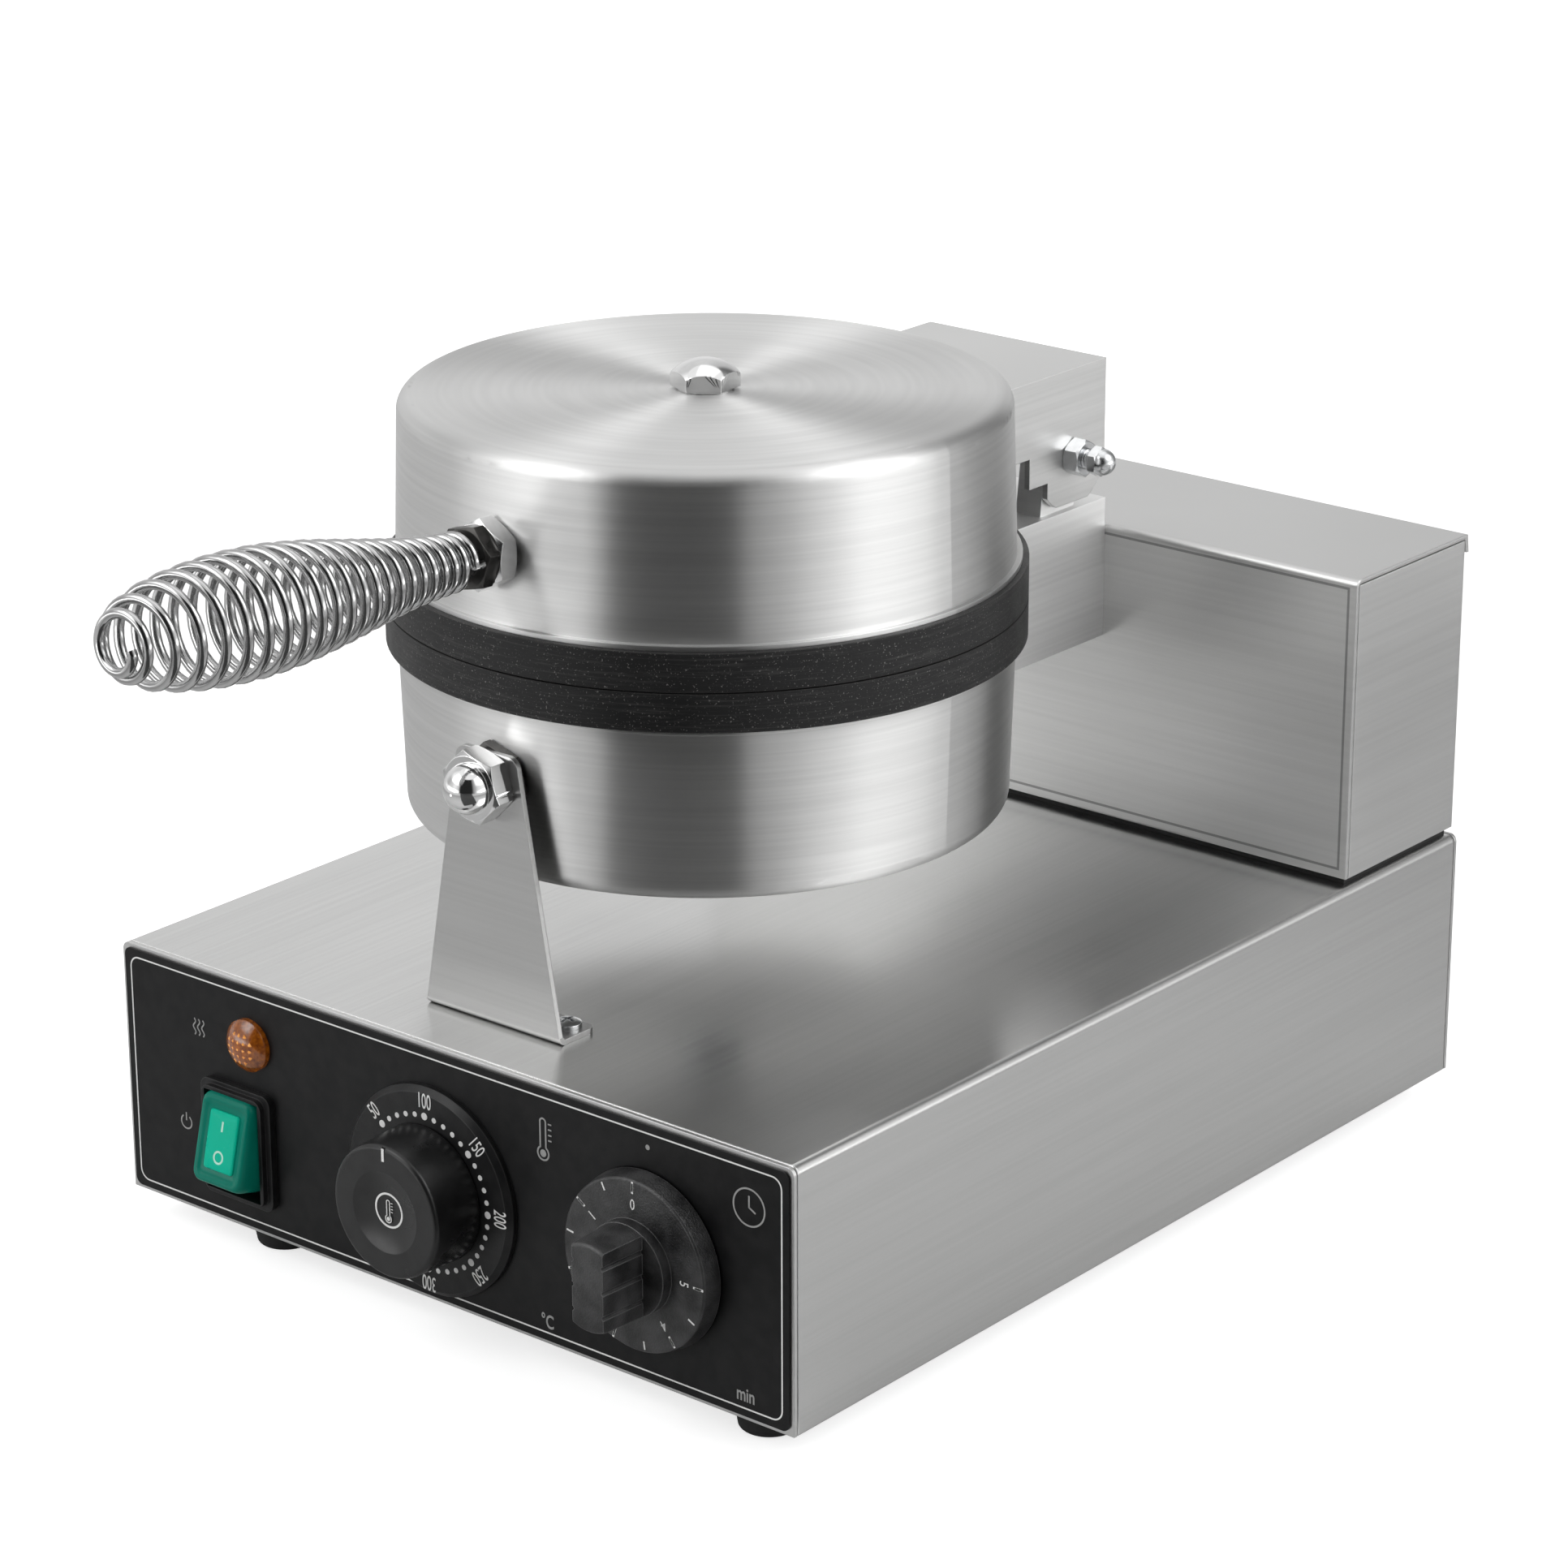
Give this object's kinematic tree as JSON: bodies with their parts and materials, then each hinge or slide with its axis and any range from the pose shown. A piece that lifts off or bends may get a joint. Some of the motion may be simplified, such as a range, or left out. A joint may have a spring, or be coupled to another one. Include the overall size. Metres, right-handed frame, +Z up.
{
  "type": "belgian waffle maker",
  "caption": "Round belgian waffle iron on a sheet steel base, with a hinged lid, spring grip handle, temperature and timer knobs, a rocker switch and a lamp.",
  "frame": {"origin": "on the floor, in the middle of the machine's outline seen from above, so the outline box's bottom centre", "axes": "+X to the right seen from the front with the controls, +Y to the rear with the hinge and the housing, +Z up"},
  "size_m": [0.25, 0.443, 0.2562],
  "materials": {
    "stainless_sheet": "fine brushed stainless sheet",
    "polished_steel": "polished stainless",
    "zinc_steel": "bright zinc plated steel",
    "dark_nut_steel": "blackened steel",
    "plate_iron": "seasoned cast iron",
    "element_steel": "heat darkened tube",
    "black_fascia": "satin black film on steel",
    "black_plastic": "satin black moulding",
    "knob_plastic": "glossy black moulding",
    "black_rubber": "matte",
    "wool": "mineral wool",
    "thermostat_ceramic": "moulded phenolic",
    "timer_case": "grey moulding",
    "terminal_ceramic": "glazed ceramic",
    "green_rocker": "translucent green moulding",
    "green_boot": "soft translucent cover",
    "amber_lens": "translucent amber moulding"
  },
  "bodies": {
    "base": {"base_shell": "stainless_sheet", "front_panel": "stainless_sheet", "control_fascia": "black_fascia", "rear_panel": "stainless_sheet", "base_plate": "stainless_sheet", "base_plate_screws": "zinc_steel", "rubber_feet": "black_rubber", "foot_screws": "zinc_steel", "foot_nuts": "zinc_steel", "housing_cover": "stainless_sheet", "housing_body": "stainless_sheet", "housing_gasket": "black_rubber", "housing_screws": "zinc_steel", "front_bracket": "stainless_sheet", "bracket_screws": "zinc_steel", "support_bolt": "zinc_steel", "support_inner_nut": "zinc_steel", "bracket_lock_nut": "dark_nut_steel", "bracket_dome_nut": "polished_steel", "lower_pan_shell": "polished_steel", "lower_plate": "plate_iron", "lower_heating_element": "element_steel", "lower_element_cover": "stainless_sheet", "lower_insulation": "wool", "lower_clamp_bolt": "zinc_steel", "lower_hinge_block": "stainless_sheet", "hinge_sleeve": "zinc_steel", "temperature_dial": "black_plastic", "thermostat_body": "thermostat_ceramic", "timer_body": "timer_case", "power_switch_body": "black_plastic", "lamp_lens": "amber_lens", "lamp_body": "black_plastic", "terminal_block": "terminal_ceramic", "cable_gland": "black_plastic"},
    "lid": {"upper_pan_shell": "polished_steel", "upper_plate": "plate_iron", "upper_heating_element": "element_steel", "upper_element_cover": "stainless_sheet", "upper_insulation": "wool", "lid_bolt": "polished_steel", "upper_hinge_arm": "stainless_sheet", "hinge_pin": "zinc_steel", "hinge_nuts": "zinc_steel", "hinge_cap_nuts": "zinc_steel", "handle_stud": "zinc_steel", "handle_nut": "polished_steel", "handle_lock_nut": "dark_nut_steel", "handle_inner_nut": "zinc_steel", "handle_spring": "polished_steel"},
    "temperature_control": {"temperature_knob": "knob_plastic", "thermostat_shaft": "zinc_steel"},
    "timer_control": {"timer_knob": "knob_plastic", "timer_shaft": "zinc_steel"},
    "power_switch": {"power_rocker": "green_rocker", "rocker_boot": "green_boot"}
  },
  "joints": [
    {"name": "lid_hinge", "type": "hinge", "parent": "base", "child": "lid", "pos_m": [0, 0.13069, 0.2053], "axis": [-1, 0, 0], "range_deg": [0, 92]},
    {"name": "temperature_turn", "type": "hinge", "parent": "base", "child": "temperature_control", "pos_m": [-0.003, -0.11111, 0.0433], "axis": [0, 1, 0], "range_deg": [-45, 180]},
    {"name": "timer_turn", "type": "hinge", "parent": "base", "child": "timer_control", "pos_m": [0.0756, -0.11111, 0.0464], "axis": [0, 1, 0], "range_deg": [0, 270]},
    {"name": "rocker_tilt", "type": "hinge", "parent": "base", "child": "power_switch", "pos_m": [-0.0785, -0.10811, 0.036], "axis": [1, 0, 0], "range_deg": [0, 28]}
  ]
}
